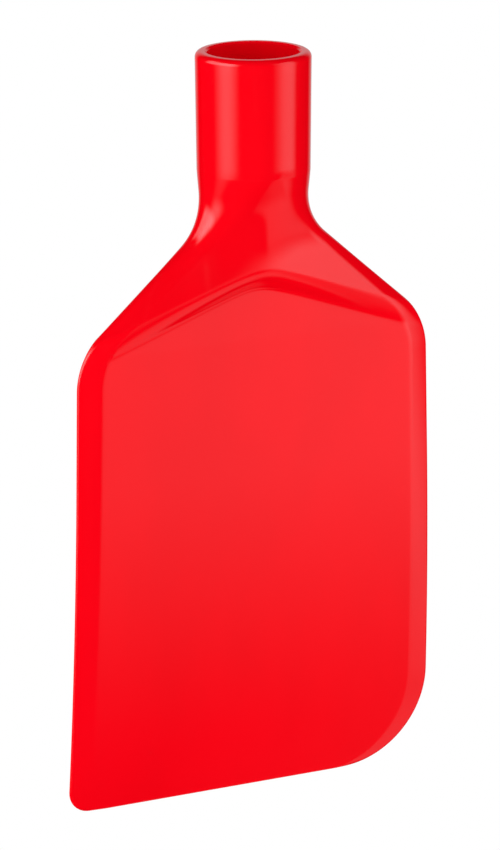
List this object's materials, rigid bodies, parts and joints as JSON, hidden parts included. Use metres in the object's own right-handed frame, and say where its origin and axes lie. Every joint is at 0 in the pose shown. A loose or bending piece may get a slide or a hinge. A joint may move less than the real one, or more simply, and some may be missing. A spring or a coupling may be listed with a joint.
{
  "type": "paddle scraper head",
  "caption": "One-piece flexible plastic scraper blade with unequal round tip corners, sloping shoulders and a hollow round socket for a screw-in handle.",
  "frame": {"origin": "centre of the socket's mouth, in the plane of its flat rim", "axes": "+Z along the socket's axis out of its mouth, the blade hanging down along -Z; +X across the blade, towards its corner of larger radius; -Y out of the blade's front face, the tip bending back towards +Y"},
  "size_m": [0.1174, 0.0332, 0.22],
  "materials": {
    "red_plastic": "glossy injection-moulded plastic, opaque red"
  },
  "bodies": {
    "root": {"paddle_blade": "red_plastic"}
  },
  "joints": []
}
